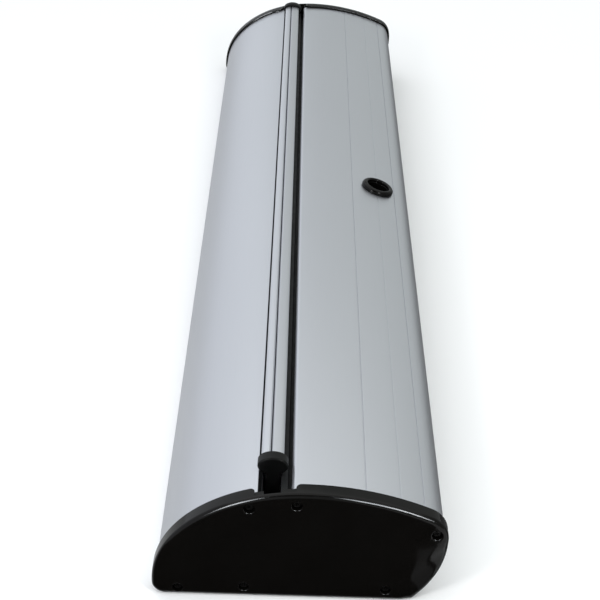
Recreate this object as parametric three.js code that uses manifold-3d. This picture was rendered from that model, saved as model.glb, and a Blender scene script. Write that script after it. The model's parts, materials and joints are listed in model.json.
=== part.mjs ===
// Roll-up banner stand: the closed cassette, with its banner wound on a sprung roller inside.
// Millimetres. X runs across the cassette (front at -X, rear at +X), Y along it and Z up.
// The origin is on the floor, under the middle of the cassette.
import * as THREE from "three";
import { mergeVertices } from "three/addons/utils/BufferGeometryUtils.js";
import Module from "manifold-3d";

const wasm = await Module();
wasm.setup();

// Driving dimensions
const LENGTH = 908; // over the outer faces of the end caps
const WIDTH = 185;
const HEIGHT = 81.1; // top of the end caps
const BANNER_WIDTH = 850;
const BANNER_SHIFT = 8.6; // the banner sits this far towards the far end
const SHELL_WALL = 1.8;
const CAP_PROUD = 2.2; // the end caps stand this far outside the shells
const GAP = 0.3; // clearance between neighbouring pieces

const HALF_LENGTH = LENGTH / 2;
const HALF_WIDTH = WIDTH / 2;

// Section of the cassette: a long front sweep, a gentle rear slope, a shoulder and a tucked-in lower rear
const CREST_X = 3.1;
const SWEEP_Z = 10.2; // height where the front sweep turns upright
const TOE_RADIUS = 8.2;
const SLOPE_RADIUS = 199;
const SHOULDER_RADIUS = 18.4;
const TUCK_RADIUS = 61.2;
const TUCK_Z = 44.9;
const SHOULDER_X = HALF_WIDTH - SHOULDER_RADIUS;
const SLOPE_Z = HEIGHT - SLOPE_RADIUS;
const SHOULDER_ANGLE = Math.acos(
  (SHOULDER_X - CREST_X) / (SLOPE_RADIUS - SHOULDER_RADIUS),
);
const SHOULDER_Z =
  SLOPE_Z + (SLOPE_RADIUS - SHOULDER_RADIUS) * Math.sin(SHOULDER_ANGLE);

// Slot along the top, between the two shells
const SLOT_FRONT = -26.5;
const SLOT_REAR = -5.8;
const FLANGE_BOTTOM = 65.5;
const LIP_RADIUS = 2.8;

// End caps
const CAP_DEPTH = 11.9;
const CAP_FACE = 3.2;
const CAP_ROUND = 3;
const CAP_WALL = 5;
const CAP_BACK = HALF_LENGTH - CAP_DEPTH;
const SHELL_END = HALF_LENGTH - 10;
const SCREWS = [
  { x: -31.6, z: 69.2 },
  { x: -2.3, z: 72.5 },
  { x: 84.9, z: 53 },
  { x: -75.9, z: 5.4 },
  { x: -34.2, z: 7.8 },
  { x: 55.5, z: 8.2 },
];
const [FRONT_PORT, LIP_PORT, SHOULDER_PORT, ...BASE_PORTS] = SCREWS;
const PORT_RADIUS = 2.7;
const PORT_BORE = 1.5;
const SCREW_SHANK = 1.2;
const COUNTERBORE = 3.6;
const SCREW_SEAT = HALF_LENGTH - 4.5;
const SCREW_HEAD = 3;
const SCREW_HEAD_HEIGHT = 2.2;
const CAP_SCREW_LENGTH = 17;
const CAP_BOSS = 4.6;
const NOTCH_FRONT = -28.6; // opening in the rim, over the slot
const NOTCH_REAR = -3.1;
const NOTCH_FLOOR = 60;
const NOTCH_END = -HALF_LENGTH + 3.5;
const RECESS_FRONT = -23.8; // room for the stem of the rail's plug
const RECESS_REAR = -12.6;

// Base plate
const BASE_TOP = CAP_PROUD + 2;
const BASE_FRONT = -81.2;
const BASE_REAR = 65.7;

const BASE_HOOK = 11; // top of the hooks along its edges
const BASE_WALL = 1.5;

// Guide strips inside the slot
const GUIDE_WALL = 0.9;
const GUIDE_HOOK = 1.4;
const GUIDE_FOOT = 1.8;
const GUIDE_FLOOR = FLANGE_BOTTOM - GAP;
const BLADE_X = -24;
const BLADE_TOP = 70;
const LEDGE_FRONT = -12.6;
const LEDGE_REAR = -8.1;
const LEDGE_TOP = 71.7;

// Banner rail, with its ends in plugs
const RAIL_X = -18.35;
const RAIL_TOP = 82.9;
const RAIL_SHOULDER = 75.6; // underside of the rail's head
const RAIL_BOTTOM = 53.5;
const RAIL_HEAD = 14.5;
const RAIL_STEM = 8;
const RAIL_CROWN = 3.4;
const RAIL_SPLIT = -19.4; // fine line between the rail's two halves
const HINGE_X = RAIL_SPLIT + 1.6;
const HINGE_Z = 78.6;
const HINGE_BEAD = 1.3;
const RAIL_WALL = 1.2;
const GRIP_BOTTOM = 55.4;
const GRIP_TOP = 59.6;
const PLUG_HEIGHT = 13;
const PLUG_Z = 79.4;
const PLUG_HEAD = 19.6;
const PLUG_STEM = 10.4;
const PLUG_BOTTOM = 52;
const PLUG_INSERT = 5;
const PLUG_LENGTH = PLUG_INSERT + 2.3;
const PLUG_LIP = 1; // how far the plug's head reaches along the rail
const RAIL_END = BANNER_WIDTH / 2 + PLUG_INSERT;

// Roller and banner
const ROLL_RADIUS = 23.5;
const TUBE_RADIUS = 16;
const TUBE_WALL = 1;
const TUBE_OVERHANG = 3;
const AXLE_RADIUS = 4;
const FILM = 0.5;
const FILM_X = -18.35;
const ROLLER_X = FILM_X + FILM / 2 + GAP + ROLL_RADIUS;
const ROLLER_Z = 36;
const FILM_TOP = RAIL_BOTTOM + 9;
const BANNER_END = BANNER_WIDTH / 2;
const TUBE_END = BANNER_END + TUBE_OVERHANG;
const TUBE_INNER = TUBE_RADIUS - TUBE_WALL;
const SHAFT_START = 150;
const SHAFT_SQUARE = 3.1;
const SPRING_RADIUS = 9;
const SPRING_START = 176;
const SPRING_LENGTH = 218;
const SPRING_TURNS = 14;
const SPRING_WIRE = 1;
const BRACKET_HALF = 24.2;
const BRACKET_HUB = 9;

// Socket for the support pole, behind the slot
const SOCKET_X = 62.2;
const SOCKET_TILT = Math.asin(
  (SOCKET_X - CREST_X) / (SLOPE_RADIUS - CAP_PROUD),
);
const SOCKET_BORE = 8.2;
const SOCKET_TUBE = 10;
const SOCKET_TUBE_TOP = 56.5;
const SOCKET_FLOOR = 14.2;
const SOCKET_SEAT = 15; // raised disc that the pole stands on
const SOCKET_SEAT_RADIUS = 7.4;
const SOCKET_HOLE = 12;
const SOCKET_SCREW_X = 47.5;
const SOCKET_SCREWS = [-17, 17];
const SOCKET_SCREW_LENGTH = 11;

// Rubber feet
const FOOT_RADIUS = 9;
const FOOT_ROWS = [-58, 48];
const FOOT_Y = 395;

// Materials
function material(color, roughness, metalness) {
  return new THREE.MeshStandardMaterial({ color, roughness, metalness });
}
const silver = material(0xc3c7cb, 0.38, 0.85);
const blackGloss = material(0x141312, 0.22, 0);
const blackSatin = material(0x1c1c1d, 0.5, 0);
const darkGrey = material(0x3a3c3e, 0.6, 0);
const rubber = material(0x1a1a1a, 0.85, 0);
const steel = material(0x8f9193, 0.35, 1);
const filmWhite = material(0xf0f0ec, 0.5, 0);
const nylon = material(0xd8d6cf, 0.55, 0);

// Solids and booleans
function solid(geometry) {
  const bare = geometry.clone();
  bare.deleteAttribute("normal");
  bare.deleteAttribute("uv");
  const merged = mergeVertices(bare, 1e-4);
  return new wasm.Manifold(
    new wasm.Mesh({
      numProp: 3,
      vertProperties: merged.attributes.position.array,
      triVerts: new Uint32Array(merged.index.array),
    }),
  );
}

function geometryOf(manifold) {
  const mesh = manifold.getMesh();
  const positions = new THREE.BufferAttribute(mesh.vertProperties, 3);
  const geometry = new THREE.BufferGeometry();
  geometry.setAttribute("position", positions);
  geometry.setIndex(new THREE.BufferAttribute(mesh.triVerts, 1));
  geometry.computeVertexNormals();
  return geometry;
}

function join(...pieces) {
  return pieces.reduce((whole, piece) => whole.add(piece));
}

function cut(body, ...tools) {
  return tools.reduce((left, tool) => left.subtract(tool), body);
}

// Points on an arc in the X-Z plane
function arc(x, z, rx, rz, from, to, steps) {
  const points = [];
  for (let i = 0; i <= steps; i++) {
    const angle = from + ((to - from) * i) / steps;
    points.push(
      new THREE.Vector2(x + rx * Math.cos(angle), z + rz * Math.sin(angle)),
    );
  }
  return points;
}

function point(x, z) {
  return new THREE.Vector2(x, z);
}

// A section in the X-Z plane, run along Y from y0 to y1
function run(points, y0, y1, bevel = 0) {
  const distinct = points.filter(
    (p, i) => p.distanceTo(points[(i + 1) % points.length]) > 1e-3,
  );
  const geometry = new THREE.ExtrudeGeometry(new THREE.Shape(distinct), {
    depth: y1 - y0,
    bevelEnabled: bevel > 0,
    bevelThickness: bevel,
    bevelSize: bevel,
    bevelOffset: -bevel,
    bevelSegments: 3,
  });
  geometry.rotateX(Math.PI / 2);
  geometry.translate(0, y1, 0);
  return solid(geometry);
}

function block(x0, x1, y0, y1, z0, z1) {
  const geometry = new THREE.BoxGeometry(x1 - x0, y1 - y0, z1 - z0);
  geometry.translate((x0 + x1) / 2, (y0 + y1) / 2, (z0 + z1) / 2);
  return solid(geometry);
}

// A round bar along Y
function rod(x, z, radius, y0, y1, sides = 24) {
  const geometry = new THREE.CylinderGeometry(radius, radius, y1 - y0, sides);
  geometry.translate(0, (y0 + y1) / 2, 0);
  return solid(geometry).translate([x, 0, z]);
}

// A round bar along Z
function post(x, y, radius, z0, z1, sides = 24) {
  const geometry = new THREE.CylinderGeometry(radius, radius, z1 - z0, sides);
  geometry.rotateX(Math.PI / 2);
  geometry.translate(x, y, (z0 + z1) / 2);
  return solid(geometry);
}

// The outer line of the front, inset, from under the toe up to the slot
function frontLine(inset, endX) {
  const rx = HALF_WIDTH + CREST_X - inset;
  const rz = HEIGHT - SWEEP_Z - inset;
  const toe = TOE_RADIUS - inset;
  const end = Math.acos((endX - CREST_X) / rx);
  return [
    ...arc(TOE_RADIUS - HALF_WIDTH, TOE_RADIUS, toe, toe, -Math.PI / 2, -Math.PI, 4),
    ...arc(CREST_X, SWEEP_Z, rx, rz, Math.PI, end, 16),
  ];
}

// The outer line of the rear, inset, from the slot over the shoulder down to endZ
function rearLine(inset, startX, endZ) {
  const rx = HALF_WIDTH + CREST_X - inset;
  const rz = HEIGHT - SWEEP_Z - inset;
  const slope = SLOPE_RADIUS - inset;
  const shoulder = SHOULDER_RADIUS - inset;
  const tuck = TUCK_RADIUS - inset;
  const start = Math.acos((startX - CREST_X) / rx);
  const end = -Math.asin((TUCK_Z - endZ) / tuck);
  return [
    ...arc(CREST_X, SWEEP_Z, rx, rz, start, Math.PI / 2, 2),
    ...arc(CREST_X, SLOPE_Z, slope, slope, Math.PI / 2, SHOULDER_ANGLE, 8),
    ...arc(SHOULDER_X, SHOULDER_Z, shoulder, shoulder, SHOULDER_ANGLE, 0, 6),
    ...arc(HALF_WIDTH - TUCK_RADIUS, TUCK_Z, tuck, tuck, 0, end, 7),
  ];
}

// The whole closed section, inset
function section(inset) {
  return [...frontLine(inset, CREST_X), ...rearLine(inset, CREST_X, inset)];
}

// A screw channel that runs the length of a shell, with a web that ties it to the wall
function port({ x, z }) {
  return rod(x, z, PORT_RADIUS, -SHELL_END, SHELL_END, 14);
}

function portBore({ x, z }) {
  return rod(x, z, PORT_BORE, -LENGTH, LENGTH, 10);
}

function web(x0, x1, z0, z1) {
  return block(x0, x1, -SHELL_END, SHELL_END, z0, z1);
}

function frontShell() {
  const outer = frontLine(CAP_PROUD, SLOT_FRONT);
  const inner = frontLine(CAP_PROUD + SHELL_WALL, SLOT_FRONT - SHELL_WALL);
  const toeTop = CAP_PROUD + SHELL_WALL;
  const hookX = BASE_FRONT - GAP;
  const wall = run(
    [
      ...outer,
      point(SLOT_FRONT, FLANGE_BOTTOM),
      point(SLOT_FRONT - SHELL_WALL, FLANGE_BOTTOM),
      ...inner.reverse(),
      point(hookX - SHELL_WALL, toeTop),
      point(hookX - SHELL_WALL, toeTop + 4),
      point(hookX, toeTop + 4),
      point(hookX, CAP_PROUD),
    ],
    -SHELL_END,
    SHELL_END,
  );
  const { x, z } = FRONT_PORT;
  return cut(
    join(
      wall,
      port(FRONT_PORT),
      web(x - 0.8, x + 0.8, z + 1.8, z + 3.8),
      web(x + 1.8, SLOT_FRONT - SHELL_WALL / 2, z - 0.8, z + 0.8),
    ),
    portBore(FRONT_PORT),
  );
}

// A shallow line along the rear shell, at the given place across it
function groove(x, depth, width) {
  const angle = Math.asin((x - CREST_X) / (SLOPE_RADIUS - CAP_PROUD));
  const geometry = new THREE.BoxGeometry(width, LENGTH, 2);
  geometry.translate(0, 0, SLOPE_RADIUS - CAP_PROUD + 1 - depth);
  geometry.rotateY(angle);
  geometry.translate(CREST_X, 0, SLOPE_Z);
  return solid(geometry);
}

// Places a shape made about +Z on the rear shell's surface, square to it, at the pole socket
function onSocketAxis(manifold) {
  const reach = SLOPE_RADIUS - CAP_PROUD;
  return manifold
    .translate([0, 0, reach])
    .rotate([0, THREE.MathUtils.radToDeg(SOCKET_TILT), 0])
    .translate([CREST_X, 0, SLOPE_Z]);
}

function rearShell() {
  const lipX = SLOT_REAR + LIP_RADIUS;
  const inset = CAP_PROUD;
  const outer = rearLine(inset, lipX, inset);
  const lipTop = outer[0].y - LIP_RADIUS;
  const lip = arc(lipX, lipTop, LIP_RADIUS, LIP_RADIUS, Math.PI, Math.PI / 2, 4);
  const inner = rearLine(inset + SHELL_WALL, SLOT_REAR + SHELL_WALL, inset + SHELL_WALL);
  const toeTop = inset + SHELL_WALL;
  const hookX = BASE_REAR + GAP;
  const wall = run(
    [
      point(SLOT_REAR, FLANGE_BOTTOM),
      ...lip,
      ...outer,
      point(hookX, inset),
      point(hookX, toeTop + 4),
      point(hookX + SHELL_WALL, toeTop + 4),
      point(hookX + SHELL_WALL, toeTop),
      ...inner.reverse(),
      point(SLOT_REAR + SHELL_WALL, FLANGE_BOTTOM),
    ],
    -SHELL_END,
    SHELL_END,
  );
  const nose = SHOULDER_PORT;
  return cut(
    join(
      wall,
      port(LIP_PORT),
      port(SHOULDER_PORT),
      web(nose.x + 1.6, nose.x + 3.6, nose.z - 0.8, nose.z + 0.8),
      web(LIP_PORT.x - 0.8, LIP_PORT.x + 0.8, LIP_PORT.z + 1.8, LIP_PORT.z + 5),
    ),
    portBore(LIP_PORT),
    portBore(SHOULDER_PORT),
    groove(40.2, 0.5, 0.8),
    groove(62.2, 0.25, 0.6),
    groove(77.2, 0.5, 0.8),
    onSocketAxis(post(0, 0, SOCKET_HOLE, -8, 8, 32)),
  );
}

// The floor of the cassette: it hooks over the toes of both shells
function basePlate() {
  const top = BASE_TOP;
  const hook = BASE_HOOK;
  const wall = BASE_WALL;
  const floor = [
    point(BASE_FRONT, CAP_PROUD),
    point(BASE_REAR, CAP_PROUD),
    point(BASE_REAR, hook - wall),
    point(BASE_REAR + 3.2, hook - wall),
    point(BASE_REAR + 3.2, hook - 4),
    point(BASE_REAR + 4.6, hook - 4),
    point(BASE_REAR + 4.6, hook),
    point(BASE_REAR - wall, hook),
    point(BASE_REAR - wall, top),
    point(BASE_FRONT + wall, top),
    point(BASE_FRONT + wall, hook),
    point(BASE_FRONT - 4.6, hook),
    point(BASE_FRONT - 4.6, hook - 4),
    point(BASE_FRONT - 3.2, hook - 4),
    point(BASE_FRONT - 3.2, hook - wall),
    point(BASE_FRONT, hook - wall),
  ];
  const ribs = [-10, 30].map((x) => web(x - 0.8, x + 0.8, top - 0.5, top + 4));
  const raised = BASE_PORTS.filter(({ z }) => z - PORT_RADIUS > top);
  const struts = raised.map(({ x, z }) => web(x - 0.8, x + 0.8, top - 0.5, z - 1.8));
  return cut(
    join(run(floor, -SHELL_END, SHELL_END), ...BASE_PORTS.map(port), ...ribs, ...struts),
    ...BASE_PORTS.map(portBore),
    ...SOCKET_SCREWS.map((y) => post(SOCKET_SCREW_X, y, PORT_BORE, 0, 10, 12)),
  );
}

// The near end cap, a moulded tray with a socketed rim and screw bosses
function endCap() {
  const bevelled = run(section(0), -HALF_LENGTH + CAP_ROUND, -CAP_BACK + 1, CAP_ROUND);
  const blank = bevelled.intersect(
    block(-LENGTH, LENGTH, -LENGTH, -CAP_BACK, -LENGTH, LENGTH),
  );
  const step = -SHELL_END - GAP;
  const seat = run(section(CAP_PROUD - GAP), step, 0);
  const tray = run(section(CAP_WALL), -HALF_LENGTH + CAP_FACE, 0);
  const bosses = SCREWS.map(({ x, z }) => rod(x, z, CAP_BOSS, -HALF_LENGTH + 1, step, 14));
  const inside = run(section(CAP_PROUD), -LENGTH, LENGTH);
  const pocket = cut(
    squareBar(BRACKET_HALF + 1.8, -HALF_LENGTH + 1, -HALF_LENGTH + 7),
    squareBar(BRACKET_HALF + GAP, -LENGTH, 0),
  );
  const notch = cut(
    block(NOTCH_FRONT, NOTCH_REAR, NOTCH_END, 0, NOTCH_FLOOR, LENGTH),
    inside,
  );
  const stemRecess = block(RECESS_FRONT, RECESS_REAR, NOTCH_END, 0, NOTCH_FLOOR, LENGTH);
  const hollowed = cut(blank, seat, tray);
  return cut(
    join(hollowed, ...bosses.map((boss) => boss.intersect(inside)), pocket),
    notch,
    stemRecess,
    ...SCREWS.map(({ x, z }) => rod(x, z, COUNTERBORE, -LENGTH, -SCREW_SEAT, 16)),
    ...SCREWS.map(({ x, z }) => rod(x, z, PORT_BORE + GAP, -LENGTH, 0, 8)),
  );
}

// A pan-head cross-recess screw along +Z, its head's underside at the origin
function screw(headRadius, headHeight, shankRadius, length) {
  const profile = [
    point(0, -length),
    point(shankRadius, -length + 2),
    point(shankRadius, 0),
    point(headRadius, 0),
    point(headRadius, headHeight * 0.5),
    point(headRadius * 0.7, headHeight),
    point(0, headHeight),
  ];
  const body = new THREE.LatheGeometry(profile, 10);
  body.rotateX(Math.PI / 2);
  const arm = headRadius * 0.55;
  const half = headRadius * 0.14;
  const recess = join(
    block(-arm, arm, -half, half, headHeight * 0.35, headHeight + 1),
    block(-half, half, -arm, arm, headHeight * 0.35, headHeight + 1),
  );
  return cut(solid(body), recess);
}

// Guide strips, clipped under the slot's flanges
function frontGuide() {
  const hookX = SLOT_FRONT - SHELL_WALL - GAP;
  const floor = GUIDE_FLOOR;
  return run(
    [
      point(BLADE_X, BLADE_TOP),
      point(BLADE_X, floor - GUIDE_FOOT),
      point(hookX - GUIDE_HOOK, floor - GUIDE_FOOT),
      point(hookX - GUIDE_HOOK, floor + 1),
      point(hookX, floor + 1),
      point(hookX, floor),
      point(BLADE_X - GUIDE_WALL, floor),
      point(BLADE_X - GUIDE_WALL, BLADE_TOP),
    ],
    -SHELL_END,
    SHELL_END,
  );
}

function rearGuide() {
  const hookX = SLOT_REAR + SHELL_WALL + GAP;
  const floor = GUIDE_FLOOR;
  const underside = LEDGE_TOP - 1.5;
  return run(
    [
      point(LEDGE_FRONT, LEDGE_TOP),
      point(LEDGE_REAR, LEDGE_TOP),
      point(LEDGE_REAR, floor),
      point(hookX, floor),
      point(hookX, floor + 3),
      point(hookX + GUIDE_HOOK, floor + 3),
      point(hookX + GUIDE_HOOK, floor - GUIDE_FOOT),
      point(LEDGE_REAR - 1.5, floor - GUIDE_FOOT),
      point(LEDGE_REAR - 1.5, underside),
      point(LEDGE_FRONT, underside),
    ],
    -SHELL_END,
    SHELL_END,
  );
}

// The rail's whole outline, grown outwards by a margin
function railOutline(margin) {
  const head = RAIL_HEAD / 2 + margin;
  const stem = RAIL_STEM / 2 + margin;
  const crown = RAIL_TOP - RAIL_CROWN;
  return [
    point(RAIL_X - stem, RAIL_BOTTOM - margin),
    point(RAIL_X - stem, RAIL_SHOULDER - margin),
    point(RAIL_X - head + 1, RAIL_SHOULDER - margin),
    point(RAIL_X - head, RAIL_SHOULDER + 1 - margin),
    ...arc(RAIL_X, crown, head, RAIL_CROWN + margin, Math.PI, 0, 14),
    point(RAIL_X + head, RAIL_SHOULDER + 1 - margin),
    point(RAIL_X + head - 1, RAIL_SHOULDER - margin),
    point(RAIL_X + stem, RAIL_SHOULDER - margin),
    point(RAIL_X + stem, RAIL_BOTTOM - margin),
  ];
}

// Both halves of the clamping rail: the rear half carries the hinge socket, the front half the hinge bead
function railBody() {
  const y = RAIL_END;
  const face = FILM_X + FILM / 2 + GAP;
  const stemBack = RAIL_X + RAIL_STEM / 2 - RAIL_WALL;
  const headFront = RAIL_X + 2.6;
  return cut(
    run(railOutline(0), -y, y),
    block(-LENGTH, RAIL_SPLIT + GAP, -LENGTH, LENGTH, RAIL_SHOULDER, LENGTH),
    block(-LENGTH, face, -LENGTH, LENGTH, 0, RAIL_SHOULDER + 0.5),
    rod(HINGE_X, HINGE_Z, HINGE_BEAD + 0.4, -LENGTH, LENGTH, 14),
    block(face + RAIL_WALL, stemBack, -LENGTH, LENGTH, RAIL_BOTTOM + RAIL_WALL, RAIL_SHOULDER - 2),
    block(headFront, headFront + 3, -LENGTH, LENGTH, RAIL_SHOULDER + 1.4, RAIL_SHOULDER + 4),
  );
}

function railClamp() {
  const y = RAIL_END;
  const face = FILM_X - FILM / 2 - GAP - 0.6;
  const jaw = cut(
    run(railOutline(0), -y, y),
    block(RAIL_SPLIT - GAP, LENGTH, -LENGTH, LENGTH, RAIL_SHOULDER, LENGTH),
    block(face, LENGTH, -LENGTH, LENGTH, 0, RAIL_SHOULDER + 0.5),
    block(face - 1, LENGTH, -LENGTH, LENGTH, GRIP_BOTTOM, GRIP_TOP),
  );
  return join(
    jaw,
    rod(HINGE_X, HINGE_Z, HINGE_BEAD, -y, y, 14),
    block(RAIL_SPLIT - 1, HINGE_X, -y, y, HINGE_Z - 0.5, HINGE_Z + 0.5),
  );
}

function railGrip() {
  const right = FILM_X - FILM / 2 - GAP;
  return block(right - 1.3, right, -RAIL_END, RAIL_END, GRIP_BOTTOM + GAP, GRIP_TOP - GAP);
}

// The plug on the rail's near end, a mushroom-shaped cap that the rail slides into
function railPlug() {
  const back = -BANNER_END;
  const front = back - PLUG_LENGTH;
  const round = 0.8;
  const crown = RAIL_X + 0.35;
  const head = arc(crown, PLUG_Z, PLUG_HEAD / 2, PLUG_HEIGHT / 2, 0, 2 * Math.PI, 28);
  const stem = PLUG_STEM / 2;
  const column = [
    point(RAIL_X - stem, PLUG_BOTTOM),
    point(RAIL_X - stem, PLUG_Z - 0.8),
    point(RAIL_X + stem, PLUG_Z - 0.8),
    point(RAIL_X + stem, PLUG_BOTTOM),
  ];
  const blunt = (outline, end) =>
    run(outline, front + round, end + round, round).intersect(
      block(-LENGTH, LENGTH, -LENGTH, end, -LENGTH, LENGTH),
    );
  return cut(
    join(blunt(head, back + PLUG_LIP), blunt(column, back)),
    run(railOutline(GAP), back - PLUG_INSERT - GAP, 0),
  );
}

// The roller: tube, wound banner, end plugs and the sprung shaft inside it
function ring(outer, inner, y0, y1, sides = 32) {
  return cut(
    rod(ROLLER_X, ROLLER_Z, outer, y0, y1, sides),
    rod(ROLLER_X, ROLLER_Z, inner, y0 - 1, y1 + 1, sides),
  );
}

// The plug in the roller's near end, turning on the axle
function rollerPlug() {
  return cut(
    join(
      rod(ROLLER_X, ROLLER_Z, TUBE_RADIUS + 1, -TUBE_END - 2.3, -TUBE_END - GAP),
      rod(ROLLER_X, ROLLER_Z, TUBE_INNER - GAP, -TUBE_END - GAP - 0.1, -TUBE_END + 25),
    ),
    rod(ROLLER_X, ROLLER_Z, AXLE_RADIUS + GAP, -LENGTH, 0),
  );
}

// The plate that holds the roller's axle, lying in the end cap's pocket; made for the near end
function bracket(hubEnd, bore) {
  const plate = -HALF_LENGTH + CAP_FACE + GAP;
  return cut(
    join(
      squareBar(BRACKET_HALF, plate, plate + 3),
      rod(ROLLER_X, ROLLER_Z, BRACKET_HUB, plate + 2.9, hubEnd),
    ),
    bore,
  );
}

function springShaft() {
  return join(
    rod(ROLLER_X, ROLLER_Z, AXLE_RADIUS, SHAFT_START, CAP_BACK - 2.4),
    squareBar(SHAFT_SQUARE, CAP_BACK - 2.5, HALF_LENGTH - 8),
  );
}

// A square bar or plate about the roller's axis
function squareBar(half, y0, y1) {
  return block(
    ROLLER_X - half,
    ROLLER_X + half,
    y0,
    y1,
    ROLLER_Z - half,
    ROLLER_Z + half,
  );
}

// The torsion spring, a helix about the shaft from the shaft's collar to the tube's anchor
class Helix extends THREE.Curve {
  constructor(radius, length, turns) {
    super();
    this.radius = radius;
    this.length = length;
    this.turns = turns;
  }
  getPoint(t, target = new THREE.Vector3()) {
    const angle = t * this.turns * 2 * Math.PI;
    return target.set(
      this.radius * Math.cos(angle),
      t * this.length,
      this.radius * Math.sin(angle),
    );
  }
}

function torsionSpring() {
  const section = arc(0, 0, SPRING_WIRE, SPRING_WIRE, 0, (2 * Math.PI * 4) / 5, 4);
  const geometry = new THREE.ExtrudeGeometry(new THREE.Shape(section), {
    steps: SPRING_TURNS * 8,
    bevelEnabled: false,
    extrudePath: new Helix(SPRING_RADIUS, SPRING_LENGTH, SPRING_TURNS),
  });
  geometry.translate(ROLLER_X, SPRING_START, ROLLER_Z);
  return solid(geometry);
}

// The pole socket: a ring in the shell, a tube under it and a foot on the base
function socketRing() {
  const bore = 9.7;
  const outer = 14.2;
  const rise = 4.8;
  const profile = [
    point(bore, -5),
    point(bore, rise - 1.5),
    ...arc(bore + 1.5, rise - 1.5, 1.5, 1.5, Math.PI, Math.PI / 2, 3),
    ...arc(outer - 3, rise - 3, 3, 3, Math.PI / 2, 0, 4),
    point(outer, GAP),
    point(11.6, GAP),
    point(11.6, -SHELL_WALL - 3 * GAP),
    point(12.6, -SHELL_WALL - 3 * GAP),
    point(11.6, -5),
  ];
  const geometry = new THREE.LatheGeometry([...profile, profile[0]].reverse(), 24);
  geometry.rotateX(Math.PI / 2);
  return onSocketAxis(solid(geometry));
}

function socketTube() {
  return cut(
    post(SOCKET_X, 0, SOCKET_TUBE, SOCKET_FLOOR + GAP, SOCKET_TUBE_TOP, 28),
    post(SOCKET_X, 0, SOCKET_BORE, 0, LENGTH, 28),
  );
}

function socketFoot() {
  const plateBottom = SOCKET_FLOOR - 3;
  const front = SOCKET_SCREW_X - 4.5;
  return cut(
    join(
      block(front, SOCKET_X + 12, -22, 22, plateBottom, SOCKET_FLOOR),
      block(front, 51.5, -22, 22, BASE_TOP + GAP, plateBottom + 0.5),
      block(59.5, 63.5, -22, 22, BASE_TOP + GAP, plateBottom + 0.5),
      cut(
        post(SOCKET_X, 0, SOCKET_TUBE + 2.3, plateBottom + 0.5, SOCKET_FLOOR + 12, 28),
        post(SOCKET_X, 0, SOCKET_TUBE + GAP, SOCKET_FLOOR, LENGTH, 28),
      ),
      post(SOCKET_X, 0, SOCKET_SEAT_RADIUS, SOCKET_FLOOR - 0.5, SOCKET_SEAT, 28),
    ),
    ...SOCKET_SCREWS.map((y) => post(SOCKET_SCREW_X, y, PORT_BORE, 0, LENGTH, 12)),
  );
}

function rubberFoot() {
  const radius = FOOT_RADIUS;
  const thickness = CAP_PROUD - GAP;
  const profile = [
    point(0, 0),
    point(radius - 0.8, 0),
    point(radius, 0.8),
    point(radius, thickness),
    point(0, thickness),
  ];
  const geometry = new THREE.LatheGeometry(profile, 24);
  geometry.rotateX(Math.PI / 2);
  return solid(geometry);
}

// The assembly
const stand = new THREE.Group();

function add(group, name, shape, finish, position = [0, 0, 0]) {
  const mesh = new THREE.Mesh(geometryOf(shape), finish);
  mesh.name = name;
  mesh.position.set(...position);
  group.add(mesh);
  return mesh;
}

// Adds a piece at the near end and its mirror image at the far end
function addPair(group, name, shape, finish) {
  add(group, name + "_near", shape, finish);
  add(group, name + "_far", shape, finish).scale.y = -1;
}

add(stand, "front_shell", frontShell(), silver);
add(stand, "rear_shell", rearShell(), silver);
add(stand, "base_plate", basePlate(), silver);
addPair(stand, "end_cap", endCap(), blackGloss);

const capScrew = screw(SCREW_HEAD, SCREW_HEAD_HEIGHT, SCREW_SHANK, CAP_SCREW_LENGTH);
for (const end of ["near", "far"]) {
  const side = end === "near" ? -1 : 1;
  SCREWS.forEach(({ x, z }, i) => {
    const name = "cap_screw_" + end + "_" + (i + 1);
    const mesh = add(stand, name, capScrew, blackSatin, [x, side * SCREW_SEAT, z]);
    mesh.rotation.x = -side * (Math.PI / 2);
  });
}

add(stand, "slot_guide_front", frontGuide(), darkGrey);
add(stand, "slot_guide_rear", rearGuide(), darkGrey);

const banner = new THREE.Group();
banner.position.y = BANNER_SHIFT;
stand.add(banner);
add(banner, "top_rail_body", railBody(), silver);
add(banner, "top_rail_clamp", railClamp(), silver);
add(banner, "top_rail_grip", railGrip(), rubber);
addPair(banner, "top_rail_plug", railPlug(), blackSatin);

function bannerWeb() {
  const front = FILM_X - FILM / 2;
  return block(front, front + FILM, -BANNER_END, BANNER_END, ROLLER_Z, FILM_TOP);
}

function bannerRoll() {
  return ring(ROLL_RADIUS, TUBE_RADIUS + GAP, -BANNER_END, BANNER_END);
}

add(banner, "banner_web", bannerWeb(), filmWhite);
add(banner, "banner_roll", bannerRoll(), filmWhite);
add(banner, "roller_tube", ring(TUBE_RADIUS, TUBE_INNER, -TUBE_END, TUBE_END), silver);
addPair(banner, "roller_plug", rollerPlug(), nylon);
add(
  banner,
  "spring_anchor",
  ring(TUBE_INNER - GAP, AXLE_RADIUS + GAP, 155, 166),
  nylon,
);

const axleBore = rod(ROLLER_X, ROLLER_Z, AXLE_RADIUS + GAP, -HALF_LENGTH + 7, 0);
const squareBore = squareBar(SHAFT_SQUARE + GAP, -HALF_LENGTH + 7, 0);
add(stand, "roller_bracket_near", bracket(-HALF_LENGTH + 30.5, axleBore), blackSatin);
add(stand, "roller_bracket_far", bracket(-CAP_BACK + 2, squareBore), blackSatin).scale.y = -1;
add(stand, "idler_axle", rod(ROLLER_X, ROLLER_Z, AXLE_RADIUS, -HALF_LENGTH + 7.3, -400), steel);
add(stand, "spring_shaft", springShaft(), steel);
add(stand, "torsion_spring", torsionSpring(), steel);
add(stand, "spring_collar", ring(11, AXLE_RADIUS + GAP, 397, 404), nylon);

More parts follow.
